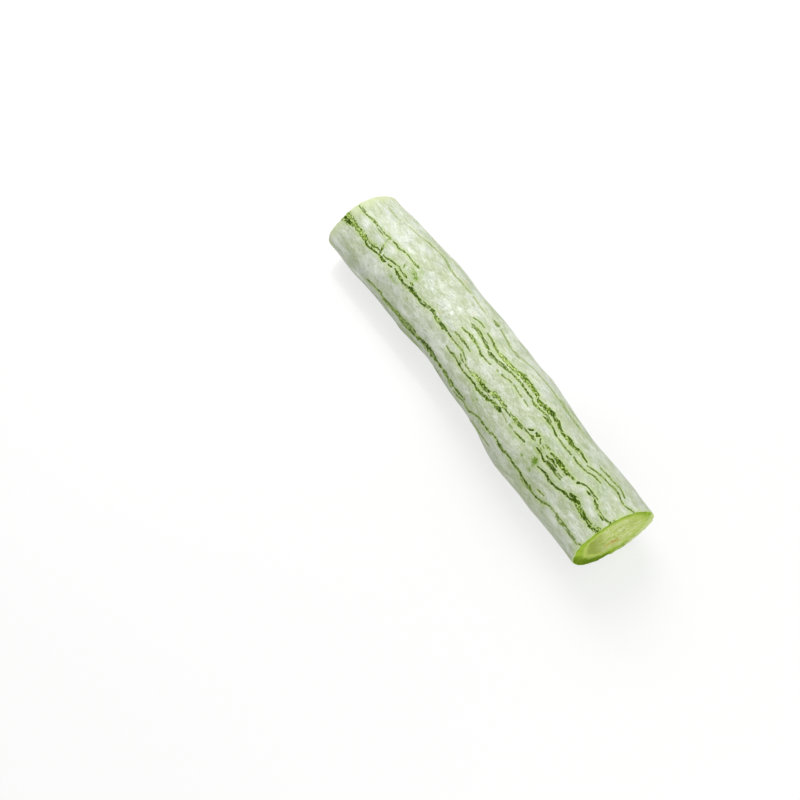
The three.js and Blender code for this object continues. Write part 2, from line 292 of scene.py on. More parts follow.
    (1, 0.9, [(241.5, 1.1, 0.7), (243.5, 1.1, 1.1), (245, 2, 0.9)]),
    (1, 0.6, [(245, 2.2, 0.7), (247.5, 2.8, 0.9), (249.5, 3.5, 1.1), (254, 4.6, 0.9)]),
    (0.85, 0.5, [(248, 5.7, 0.5), (254, 5, 0.7)]),
    # the widest band, to the flower cut
    (1, 1, [(196, -9.4, 0.7), (200.8, -8.8, 0.9), (203.4, -8.5, 1.2), (205.8, -9.1, 1.1), (210, -9, 1.1)]),
    (1, 1, [(210, -9, 1.1), (213, -8.4, 1.1), (218.5, -6.6, 1.3), (221, -6.5, 1.2), (225, -5.3, 1.1)]),
    (1, 0.4, [(220.5, -4.6, 1.4), (224, -4.3, 2.4), (228, -4.7, 2.5), (232, -5.8, 2.3), (236, -6.3, 2.4)]),
    (1, 0.3, [(235.5, -6.3, 2.4), (241, -6.4, 2.3), (246, -5.4, 3.1), (254, -5, 3.6)]),
    (1, 1, [(221.5, -4.5, 0.9), (223, -4.1, 1.3), (225.5, -4.6, 1.5), (229, -4, 1)]),
    (1, 0.8, [(231, -5.3, 0.8), (238.5, -5.7, 0.8), (242, -5.4, 0.6)]),
    (1, 1, [(233.5, -7, 0.6), (237, -7, 1.3), (239.5, -7.1, 0.7), (242.7, -7.1, 1.2), (244.3, -6.9, 0.6)]),
    (0.95, 0.9, [(243.5, -6, 0.5), (247, -5.5, 0.8), (254, -6.8, 0.9)]),
    # two fine lines above them, to the flower cut
    (0.9, 0.4, [(213.3, 13, 0.5), (222, 15.5, 0.8), (226, 16.3, 0.7), (229, 16.4, 0.6),
        (231.5, 17.1, 0.8), (237, 17.2, 0.8)]),
    (0.9, 0.4, [(237, 17.2, 0.8), (239, 16.3, 0.6), (242, 15.7, 0.8), (244.5, 15.7, 0.6),
        (249, 17, 0.6), (255, 17.4, 0.6)]),
    (0.85, 0.4, [(218, 18.1, 0.3), (221.5, 18.6, 0.7), (229, 19.2, 0.6), (235, 19.9, 0.6),
        (237.8, 19.2, 0.8), (240.5, 18.5, 0.4)]),
]

# Green blotches, warm stains, white bruises and dull patches of the upper side, drawn on the same
# plane: (distance along, distance across, half-length, half-width, strength). Some of the white bruises
# are painted light, and some of the dull patches are painted shade.
GREEN_BLOTCHES = [
    (28.5, -4.5, 2.5, 2.2, 0.75), (31.3, 4.8, 1.3, 1.3, 0.5), (51, -2.5, 3, 1.8, 0.6),
    (50.5, -8, 1.2, 1.4, 0.8), (51, 2, 1.2, 1.3, 0.5), (54, -8.5, 4, 1.5, 0.45),
    (59, 3.5, 2.8, 1.8, 0.8), (62, 2.5, 2.4, 2, 0.8), (61.5, 7, 2.4, 2, 0.55), (56, 4.5, 1.8, 1, 0.6),
    (68, -8.8, 1.4, 0.8, 0.6), (71, -13.3, 2, 0.7, 0.35), (46, 22.3, 2.2, 1.4, 0.45),
    (16, 21.5, 1.8, 1, 0.3), (108, 23, 3.5, 1.5, 0.4), (110.5, 23.8, 1.8, 0.9, 0.8),
    (124, 25.8, 1.2, 0.8, 0.5), (143.8, 14.3, 1.8, 1.6, 1), (146.5, 14.6, 1.5, 1.2, 0.7),
    (138, -7, 4.5, 2, 0.6), (138, -3.3, 3, 1.4, 0.5), (142.5, -12.8, 1.8, 1, 0.7),
    (141, -14.5, 3, 2, 0.4), (168, -4.8, 2, 1.5, 0.5), (183, 2.3, 1.6, 1, 0.4),
    (190, -4, 3.8, 1.6, 0.7), (193, -8.5, 2.5, 2.6, 1), (194, -11, 1.2, 1.6, 0.8),
    (185.5, -12.5, 1.2, 1, 0.9), (189, -13.3, 3.2, 1.1, 0.5), (194.2, -14.4, 1.4, 1.4, 0.8),
    (241.8, 5, 1, 0.8, 0.5), (249, 5, 1.1, 1.1, 0.4),
]
WARM_STAINS = [
    (77, 25, 3.5, 1.3, 0.7), (85.5, 11.5, 1.6, 2, 0.4), (87, 1.5, 2.5, 2, 0.35),
    (99, 16.7, 1.8, 1, 0.6), (230.5, 1.3, 2.2, 0.8, 0.4), (152.5, 21.5, 2.5, 1, 0.35),
]
# Some white bruises are pale wax; the others are painted light, which brightens the stem end and the lower
# side.
WHITE_BRUISES_AND_PAINTED_LIGHT = [
    (91.5, 6.5, 1.4, 1.2, 1), (92, 12, 2.4, 2.5, 0.6), (90, 3, 1.2, 2.2, 0.5), (34, 9, 5.5, 2, 0.45),
    (44, 10, 5, 1.5, 0.5), (38, 2, 4.5, 2, 0.4), (14, 8, 7, 3, 0.4), (122.5, -11.3, 3, 1.4, 0.4),
    (152, -4.6, 1.4, 0.7, 0.4), (186, -6, 2, 2, 0.5), (229.5, -11.3, 3.5, 2.5, 0.6),
    (236.5, -1.5, 6, 1.5, 0.4), (243, -2.2, 4, 1.4, 0.35), (14, 5, 18, 16, 0.35),
    (8, -20.5, 11, 4.5, 0.8), (30, -22, 17, 3.4, 0.6), (12, 21, 8, 3, 0.4), (38, -14.5, 12, 3, 0.6),
    (72, -14.5, 20, 3, 0.6), (106, -13, 14, 3.6, 0.6), (100, -9.5, 6, 1.6, 0.4),
    (226, -15, 15, 3, 0.55), (230, -21, 16, 3, 0.5),
]
# Some dull patches are duller wax; the others are painted shade, near the lower edge and over broad
# stretches towards the flower cut.
DULL_PATCHES_AND_PAINTED_SHADE = [
    (13.5, -16, 6, 2, 0.35), (20, -17.5, 7, 1.8, 0.4), (208, 6, 16, 12, 0.6), (214, -12, 16, 4, 0.5),
    (160, 4, 14, 6, 0.25), (78, -21.5, 16, 2.6, 0.6), (104, -20.5, 15, 3, 0.9), (205, 0, 48, 34, 0.35),
    (226, 12, 15, 7, 0.5), (192, 1, 13, 10, 0.6), (60, -4, 10, 5, 0.35), (60, -1, 9, 2.6, 0.45),
    (60, -14, 9, 3, 0.3), (188, -2, 14, 4, 0.35), (158, -5, 10, 3, 0.3),
]

# The stripes of the hidden side are grown from a seed, in tracks of the same kind.
HIDDEN_SEED = 11
HIDDEN_TRACKS = 11
HIDDEN_STEP = 5.0
HIDDEN_FROM, HIDDEN_TO = math.radians(201), math.radians(366)

# ---------------------------------------------------------------- the cut faces
CUT_RINGS = 84  # steps from the rim of a cut face to its centre
CORE_SHARE = 0.70  # the spongy core ends at about this share of the radius
# how far (y, z) each core lies off the centre of its cut
FLOWER_CORE, STEM_CORE = (1.0, 2.0), (0.5, 0.5)
CORE_SUNK = 0.22  # how far the core lies below the firm rim
CORE_FADE = 0.03  # the core turns into the rim over this share of the radius, to each side of its edge
RAGGED_RIM = (math.radians(-52), math.radians(4))  # where the flower cut tore the rim
TEAR_DEPTHS = (1.1, 0.7)  # how deep the tears are in the rim itself and in the row beside it
TEAR_FADE = 0.2  # the tears fade in over this angle at each end

# Slits and torn pockets of each core: (y, z) from the centre of the cut, half-length, half-width,
# slant in degrees, depth.
FLOWER_SLITS = [
    (6, 1.5, 4.2, 1.0, 22, 0.7), (1, -1, 2.2, 0.8, 10, 0.5), (-5, -3, 4.5, 1.2, -14, 0.6),
    (-8, 5, 3, 0.7, -8, 0.4), (4, 10, 3.5, 0.7, -8, 0.4),
]
STEM_SLITS = [
    (7, 1, 4.6, 1.0, 18, 1.0), (1, -0.5, 2.6, 0.8, -6, 0.6), (-6, -4.5, 4.5, 1.5, 12, 0.7),
    (-2, -7, 2.2, 1.1, -30, 0.6), (4, 9, 4, 0.7, 4, 0.4),
]
# Stains of each core: (y, z, half-length, half-height, strength)
FLOWER_STAINS = [(1.0, -7, 4.2, 3.2, 0.75), (-3, -7.6, 3, 2.2, 0.5)]
STEM_STAINS = [(3, -3, 2, 1.4, 0.3)]


# ================================================================ reading the CAD solid
def cut_plane(obj, side):
    """The centre and outward normal of the knife cut at the end where x has this sign."""
    mesh = obj.data
    faces = [p for p in mesh.polygons if p.normal.x * side > 0.9]
    normal = sum((p.normal * p.area for p in faces), Vector()).normalized()
    centre = sum((p.center * p.area for p in faces), Vector()) / sum(p.area for p in faces)
    return np.array(centre) / MM, np.array(normal)


def slopes(normal):
    """How far x rises over y and over z on a plane with this normal."""
    return np.array([-normal[1] / normal[0], -normal[2] / normal[0]])


def cast_skin(obj, stem, flower):
    """The CAD skin as points on slanting rings: CAST_ROWS + 1 rings of CAST_COLUMNS points."""
    mesh = obj.data
    corners = [v.co / MM for v in mesh.vertices]
    tree = BVHTree.FromPolygons(corners, [tuple(p.vertices) for p in mesh.polygons])
    stem_slopes, flower_slopes = slopes(stem[1]), slopes(flower[1])
    rings = []
    for i in range(CAST_ROWS + 1):
        share = min(max(i / CAST_ROWS, CUT_MARGIN), 1 - CUT_MARGIN)
        lean = stem_slopes + (flower_slopes - stem_slopes) * share
        centre = stem[0] + (flower[0] - stem[0]) * share
        points = []
        for j in range(CAST_COLUMNS):
            angle = TURN * j / CAST_COLUMNS
            y, z = math.cos(angle), math.sin(angle)
            direction = Vector((lean[0] * y + lean[1] * z, y, z))
            points.append(tree.ray_cast(Vector(centre), direction)[0])
        rings.append(points)
    return np.array(rings)


# ================================================================ smooth numbers
def spline_weights(at):
    """Catmull-Rom weights of the four neighbours of a point at this share of a step."""
    return np.stack([
        ((2 - at) * at - 1) * at / 2,
        ((3 * at - 5) * at * at + 2) / 2,
        ((4 - 3 * at) * at + 1) * at / 2,
        (at - 1) * at * at / 2,
    ])


def refined(rings, rows, columns):
    """A grid of rings, read smoothly at these rows and columns, which may lie between its own."""
    padded = np.concatenate([2 * rings[:1] - rings[1:2], rings, 2 * rings[-1:] - rings[-2:-1]])
    start = np.minimum(np.floor(rows).astype(int), len(rings) - 2)
    weights = spline_weights(rows - start)
    along = sum(w[:, None, None] * padded[start + k] for k, w in enumerate(weights))
    count = rings.shape[1]
    start = np.floor(columns).astype(int)
    weights = spline_weights(columns - start)
    return sum(w[None, :, None] * along[:, (start + k - 1) % count] for k, w in enumerate(weights))


def smooth_curve(xs, ys, at):
    """A smooth curve through the points (xs, ys), read at these places."""
    xs, ys = np.asarray(xs, float), np.asarray(ys, float)
    slope = np.gradient(ys, xs)
    k = np.clip(np.searchsorted(xs, at, side="right") - 1, 0, len(xs) - 2)
    step = xs[k + 1] - xs[k]
    t = np.clip((at - xs[k]) / step, 0, 1)
    return (
        (1 + 2 * t) * (1 - t) ** 2 * ys[k]
        + t * (1 - t) ** 2 * step * slope[k]
        + t * t * (3 - 2 * t) * ys[k + 1]
        + t * t * (t - 1) * step * slope[k + 1]
    )


def smoothstep(low, high, value):
    t = np.clip((value - low) / (high - low), 0, 1)
    return t * t * (3 - 2 * t)


def noise_at(points, sizes, seed):
    """Smooth noise from -1 to 1 at each point, with this wavelength in each direction."""
    places = points / np.asarray(sizes) + np.array([seed * 7.3, seed * 3.1, seed * 5.7])
    flat = places.reshape(-1, 3)
    return np.array([noise.noise(Vector(p)) for p in flat]).reshape(points.shape[:-1])


# ================================================================ the skin
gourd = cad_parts[NODE]
stem_cut = cut_plane(gourd, -1)
flower_cut = cut_plane(gourd, 1)
cast = cast_skin(gourd, stem_cut, flower_cut)

# The rows crowd together at the ends, where the rim is rounded off.
first, second = (step / LENGTH for step in RIM_STEPS)
inner_shares = np.linspace(second, 1 - second, ROWS - 3)
shares = np.concatenate([[0, first], inner_shares, [1 - first, 1]])
angles = TURN * np.arange(COLUMNS) / COLUMNS
skin = refined(cast, shares * CAST_ROWS, angles / TURN * CAST_COLUMNS)
middle = stem_cut[0] + (flower_cut[0] - stem_cut[0]) * shares[:, None]
outward = skin - middle[:, None]
outward[..., 0] = 0
radius = np.linalg.norm(outward, axis=2)
outward /= radius[..., None]
along = skin[..., 0] - flower_cut[0][0] + FLOWER_AT

# ---------------------------------------------------------------- where the stripes run
# The distance of each skin point across the plane that stripes are drawn on.
across_axis = np.array([0, math.cos(SHOWN_TILT), math.sin(SHOWN_TILT)])
across = ((skin - middle[:, None]) * across_axis).sum(2)
turned = (angles - SHOWN_TILT) % TURN
upper_columns = np.flatnonzero(turned <= math.pi)
upper_columns = upper_columns[np.argsort(-turned[upper_columns])]


def angle_of(x, y):
    """The angle round the fruit of the upper skin point at this distance along, and across."""
    row = int(np.clip(np.searchsorted(shares, (x - STEM_AT) / LENGTH), 0, len(shares) - 1))
    values = across[row, upper_columns]
    return float(np.interp(y, values, turned[upper_columns]) + SHOWN_TILT)


def drawn_stripe(strength, fill, points):
    """A drawn stripe on the skin. Towards the sides its width grows, as it was drawn foreshortened."""
    path = np.array([angle_of(x, y) for x, y, _ in points])
    facing = np.maximum(np.sin(path - SHOWN_TILT), LEAST_FACING)
    return {
        "x": np.array([p[0] for p in points], float),
        "angle": path,
        "half": np.array([p[2] for p in points]) / 2 / facing,
        "strength": strength,
        "fill": fill,
    }


def hidden_stripes():
    """Broken stripes of the hidden side, in tracks that wander together along the fruit."""
    rng = np.random.default_rng(HIDDEN_SEED)
    stations = np.arange(-4.0, FLOWER_AT + HIDDEN_STEP, HIDDEN_STEP)
    shared = np.cumsum(rng.normal(0, 1, len(stations)))
    shared = np.convolve(shared - np.linspace(shared[0], shared[-1], len(shared)), np.ones(3) / 3, "same")
    stripes = []
    for k in range(HIDDEN_TRACKS):
        place = HIDDEN_FROM + (HIDDEN_TO - HIDDEN_FROM) * (k + rng.uniform(0.2, 0.8)) / HIDDEN_TRACKS
        own = np.convolve(rng.normal(0, 0.03, len(stations)), np.ones(2) / 2, "same")
        path = place + 0.015 * shared + own + np.cumsum(rng.normal(0, 0.006, len(stations)))
        swell = np.convolve(rng.uniform(0, 1, len(stations)), np.ones(3) / 3, "same")
        width = 0.4 + 3.4 * smoothstep(0.38, 0.78, swell) + rng.uniform(0, 0.4, len(stations))
        start = rng.integers(0, 12) if rng.uniform() < 0.6 else 0
        while start < len(stations) - 4:
            stop = min(len(stations), start + int(rng.integers(8, 34)))
            part = slice(start, stop)
            steps = np.arange(stop - start)
            narrowing = np.minimum(np.minimum(steps + 1, stop - start - steps) / 4, 1)
            stripes.append({
                "x": stations[part],
                "angle": path[part],
                "half": width[part] * narrowing / 2,
                "strength": rng.uniform(0.8, 1),
                "fill": rng.uniform(0.2, 1),
            })
            start = stop + int(rng.integers(1, 6))
    return stripes


def stripe_field(stripe):
    """Signed distance from the middle of a stripe, its half-width and its halo, at each skin point."""
    x, half = stripe["x"], stripe["half"]
    at = np.clip(along, x[0], x[-1])
    centre = smooth_curve(x, stripe["angle"], at)
    ahead = smooth_curve(x, stripe["angle"], np.clip(at + LOOK_AHEAD, x[0], x[-1]))
    lean = radius * (ahead - centre) / LOOK_AHEAD
    apart = (angles[None, :] - centre + math.pi) % TURN - math.pi
    distance = apart * radius / np.sqrt(1 + lean**2)
    ends = np.minimum(along - x[0], x[-1] - along) + STRIPE_END
    opens_at_rim = (x[0] < STEM_AT) * (along < LENGTH / 2) + (x[-1] > FLOWER_AT) * (along > LENGTH / 2)
    taper = np.where(opens_at_rim > 0, 1, np.sqrt(np.clip(ends / NARROWING, 0, 1)))
    width = smooth_curve(x, half, at) * taper
    width = np.where(ends < 0, ABSENT, width)
    halo = smoothstep(0.45, 1, stripe["strength"]) * smoothstep(-HALO, 0, width - np.abs(distance))
    return distance, np.where(np.abs(distance) - width > REACH, ABSENT, width), halo


def stripe_layers(stripes):
    """Spreads the stripes over LAYERS layers, so that stripes that run side by side are in different ones.

    Each layer holds, at each skin point, the distance from the middle of the stripe that is nearest
    in that layer, its half-width, strength and fill.
    """
    empty = np.broadcast_to(np.array([FAR_OFF, ABSENT, 0.0, 0.0]), (*along.shape, 4))
    layers = [empty.copy() for _ in range(LAYERS)]
    halo = np.zeros(along.shape)
    clashes = 0
    for stripe in stripes:
        distance, width, glow = stripe_field(stripe)
        halo = np.maximum(halo, glow)
        near = width > ABSENT / 2
        taken = [np.count_nonzero(near & (layer[..., 1] > ABSENT / 2)) for layer in layers]
        best = int(np.argmin(taken))
        clashes += taken[best]
        layer = layers[best]
        wins = near & (width - np.abs(distance) > layer[..., 1] - np.abs(layer[..., 0]))
        layer[wins, 0] = distance[wins]
        layer[wins, 1] = width[wins]
        layer[wins, 2:] = stripe["strength"], stripe["fill"]
    print("stripe clashes", clashes, "of", len(stripes), "stripes")
    return layers, halo


def spots(places):
    """The strength of a list of drawn spots at each skin point, from 0 to 1."""
    total = np.zeros(along.shape)
    upper = turned <= math.pi
    for x, y, half_length, half_width, strength in places:
        angle = angle_of(x, y)
        apart = (angles[None, :] - angle + math.pi) % TURN - math.pi
        reach = ((along - x) / half_length) ** 2 + (apart * radius / half_width) ** 2
        total = np.maximum(total, strength * np.exp(-reach))
    return total * upper[None, :]


stripes = [drawn_stripe(*s) for s in STRIPES] + hidden_stripes()
layers, stripe_halo = stripe_layers(stripes)
inside = np.max([layer[..., 1] - np.abs(layer[..., 0]) for layer in layers], axis=0)
# the third channel, the white bruises, holds painted light as well as pale wax
spot_field = np.stack([spots(GREEN_BLOTCHES), spots(WARM_STAINS), spots(WHITE_BRUISES_AND_PAINTED_LIGHT)], 2)
# the dull patches hold painted shade as well as duller wax
dullness_and_painted_shade = spots(DULL_PATCHES_AND_PAINTED_SHADE)

# ---------------------------------------------------------------- relief
relief = sum(
    height * noise_at(skin, (length, girth, girth), seed)
    for seed, (length, girth, height) in enumerate(LUMPS)
)
relief -= FURROW["depth"] * smoothstep(-FURROW["reach"], 0.2, inside)
relief *= smoothstep(BELLY_FLAT, BELLY_KEPT, skin[..., 2])
rim_gap = np.minimum(shares, 1 - shares)[:, None] * LENGTH
rounding = ROUNDING["depth"] * (1 - smoothstep(0, ROUNDING["reach"], rim_gap))
skin = skin + outward * (relief - rounding)[..., None]

# The knife leaves the rims slightly uneven, and tore one part of the flower end's rim.
uneven = UNEVEN["wide"] * noise_at(skin, (8, 3.2, 3.2), 21)
uneven = uneven + UNEVEN["fine"] * noise_at(skin, (8, 1.3, 1.3), 22)
near_rim = 1 - smoothstep(0, UNEVEN["reach"], rim_gap)
skin[..., 0] += uneven * near_rim
wrapped = (angles + math.pi) % TURN - math.pi
torn = smoothstep(RAGGED_RIM[0], RAGGED_RIM[0] + TEAR_FADE, wrapped)
torn *= smoothstep(RAGGED_RIM[1], RAGGED_RIM[1] - TEAR_FADE, wrapped)
bites = noise_at(skin[-1], (1, 2.2, 2.2), 23) + 0.5 * noise_at(skin[-1], (1, 1.1, 1.1), 24)
bites = np.clip(bites, 0, 1)
for row, tear_depth in zip((-1, -2), TEAR_DEPTHS):
    skin[row] -= outward[row] * (torn * bites * tear_depth)[:, None]
skin[..., 2] = np.maximum(skin[..., 2], 0)


# ================================================================ building meshes
def new_piece(name, points, faces, material):
    """A smooth mesh, its points in mm, that is shown in place of the CAD gourd."""
    mesh = bpy.data.meshes.new(name)
    mesh.from_pydata((points * MM).tolist(), [], faces)
    mesh.shade_smooth()
    mesh.materials.append(material)
    obj = bpy.data.objects.new(name, mesh)
    bpy.context.scene.collection.objects.link(obj)
    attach(obj, BODY)
    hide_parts(NODE)
    return obj


def store(obj, name, values):
    """Keeps a number, or a triple of numbers, at each vertex for the material to read."""
    kind, field = ("FLOAT", "value") if values.ndim == 1 else ("FLOAT_VECTOR", "vector")
    attribute = obj.data.attributes.new(name, kind, "POINT")
    attribute.data.foreach_set(field, values.astype(np.float32).ravel())


def store_map(obj, corner_uv):
    """The map, from 0 to 1, that the looks are baked by."""
    layer = obj.data.uv_layers.new(name="OFBake")
    layer.uv.foreach_set("vector", np.asarray(corner_uv, np.float32).ravel())


def skin_faces():
    """The skin's quads, and where each of their corners lies on its map."""
    count = COLUMNS
    faces, corner_uv = [], []
    belly = round(0.75 * count)  # the map is cut open along the belly
    for i in range(len(shares) - 1):
        low, high = shares[i], shares[i + 1]
        for j in range(count):
            k = (j + 1) % count
            faces.append((i * count + j, i * count + k, (i + 1) * count + k, (i + 1) * count + j))
            left = ((j - belly) % count) / count
            right = left + 1 / count
            corner_uv += [(low, left), (low, right), (high, right), (high, left)]
    return faces, corner_uv


print("skin", skin.shape)


# ================================================================ materials
class Nodes:
    """Builds one material's node tree."""

    def __init__(self, name):
        self.material = bpy.data.materials.new(name)
        self.material.use_nodes = True
        self.tree = self.material.node_tree
        self.shader = self.tree.nodes["Principled BSDF"]
        self.bent = None

    def node(self, kind, inputs=None, **settings):
        made = self.tree.nodes.new(kind)
        for key, value in settings.items():
            setattr(made, key, value)
        for key, value in (inputs or {}).items():
            self.feed(made.inputs[key], value)
        return made

    def feed(self, socket, value):
        if isinstance(value, bpy.types.NodeSocket):
            self.tree.links.new(value, socket)
        elif isinstance(value, tuple) and socket.type == "RGBA":
            socket.default_value = (*value, 1)
        else:
            socket.default_value = value

    def arithmetic(self, operation, *numbers):
        return self.node("ShaderNodeMath", dict(enumerate(numbers)), operation=operation).outputs[0]

    def sum(self, a, b):
        return self.arithmetic("ADD", a, b)

    def minus(self, a, b):
        return self.arithmetic("SUBTRACT", a, b)

    def times(self, a, b):
        return self.arithmetic("MULTIPLY", a, b)

    def larger(self, a, b):
        return self.arithmetic("MAXIMUM", a, b)

    def size(self, a):
        return self.arithmetic("ABSOLUTE", a)

    def ramp(self, value, low, high, to_low=0.0, to_high=1.0):
        """A smooth change from to_low to to_high as the value goes from low to high."""
        inputs = {"Value": value, "From Min": low, "From Max": high, "To Min": to_low, "To Max": to_high}
        return self.node("ShaderNodeMapRange", inputs, interpolation_type="SMOOTHSTEP").outputs[0]

    def blend(self, share, a, b):
        """The colour a, turning to the colour b as the share goes from 0 to 1."""
        made = self.node("ShaderNodeMix", data_type="RGBA")
        self.feed(made.inputs[0], share)
        self.feed(made.inputs[6], a)
        self.feed(made.inputs[7], b)
        return made.outputs[2]

    def painted(self, base, coats):
        """The base under coats of (pattern, low, high, to_low, to_high, colour), the lowest one first."""
        for pattern, low, high, to_low, to_high, colour in coats:
            base = self.blend(self.ramp(pattern, low, high, to_low, to_high), base, colour)
        return base

    def blend_number(self, share, a, b):
        """The number a, turning to the number b as the share goes from 0 to 1."""
        return self.node("ShaderNodeMix", {0: share, 2: a, 3: b}).outputs[0]

    def stored(self, name):
        """What store() keeps at each vertex under this name."""
        return self.node("ShaderNodeAttribute", attribute_name=name)

    def source(self):
        """The object's own coordinates, or the bent ones once bend() has made them."""
        if self.bent is None:
            return self.node("ShaderNodeTexCoord").outputs["Object"]
        return self.bent

    def towards(self, x, y, z):
        """The dot product of a point, in metres, with this vector."""
        inputs = {0: self.source(), 1: (x, y, z)}
        return self.node("ShaderNodeVectorMath", inputs, operation="DOT_PRODUCT").outputs["Value"]

    def bend(self, wavelength, amount, seed):
        """From here on, patterns wander sideways by up to this many mm."""
        inputs = {"Vector": self.place((wavelength,) * 3, (seed, seed, seed)), "Scale": 1.0, "Detail": 1.0}
        wander = self.node("ShaderNodeTexNoise", inputs).outputs["Color"]
        centred = self.node("ShaderNodeVectorMath", {0: wander, 1: (0.5, 0.5, 0.5)}, operation="SUBTRACT")
        sideways = (0, 2 * MM * amount, 2 * MM * amount)
        shift = self.node("ShaderNodeVectorMath", {0: centred.outputs[0], 1: sideways}, operation="MULTIPLY")
        moved = self.node("ShaderNodeVectorMath", {0: self.source(), 1: shift.outputs[0]}, operation="ADD")
        self.bent = moved.outputs[0]

    def place(self, stretch=(1, 1, 1), shift=(0, 0, 0)):
        """The source coordinates in mm, divided by these wavelengths."""
        source = self.source()
        scale = tuple(1 / (MM * s) for s in stretch)
        mapping = self.node("ShaderNodeMapping", {"Vector": source, "Scale": scale, "Location": shift})
        return mapping.outputs[0]

    def grain(self, stretch, detail=2.0, rough=0.5, seed=0.0, distortion=0.0):
        """Noise from about 0.2 to 0.8, with these wavelengths along x, y and z."""
        inputs = {
            "Vector": self.place(stretch, (seed * 3.7, seed * 1.9, seed * 2.3)),
            "Scale": 1.0,
            "Detail": detail,
            "Roughness": rough,
            "Distortion": distortion,
        }
        return self.node("ShaderNodeTexNoise", inputs).outputs[0]


def srgb(red, green, blue):
    """A colour written as it looks on a screen, from 0 to 255, as linear numbers."""
    def linear(c):
        c /= 255
        return c / 12.92 if c <= 0.04045 else ((c + 0.055) / 1.055) ** 2.4

    return (linear(red), linear(green), linear(blue))


WAX = srgb(217, 221, 203)
UNDER_WAX = srgb(183, 194, 156)
GREEN_WAX = srgb(197, 208, 166)
COOL_WAX = srgb(214, 220, 213)
STREAK = srgb(152, 168, 122)
WHITE_WAX_AND_PAINTED_LIGHT = srgb(242, 245, 236)
DULL_WAX_AND_PAINTED_SHADE = srgb(162, 180, 122)
STRIPE_DARK = srgb(46, 72, 0)
STRIPE_FAINT = srgb(112, 128, 70)
STRIPE_OLIVE = srgb(96, 124, 22)
STRIPE_GREEN = srgb(146, 176, 66)
STRIPE_FILL = srgb(208, 226, 146)
STRIPE_GLOW = srgb(190, 208, 142)
BLOTCH_GREEN = srgb(104, 138, 28)
BLOTCH_HAZE = srgb(164, 186, 108)
STAIN = srgb(226, 210, 156)
STEM_RIM = srgb(214, 223, 176)
FLOWER_RIM = srgb(202, 219, 156)


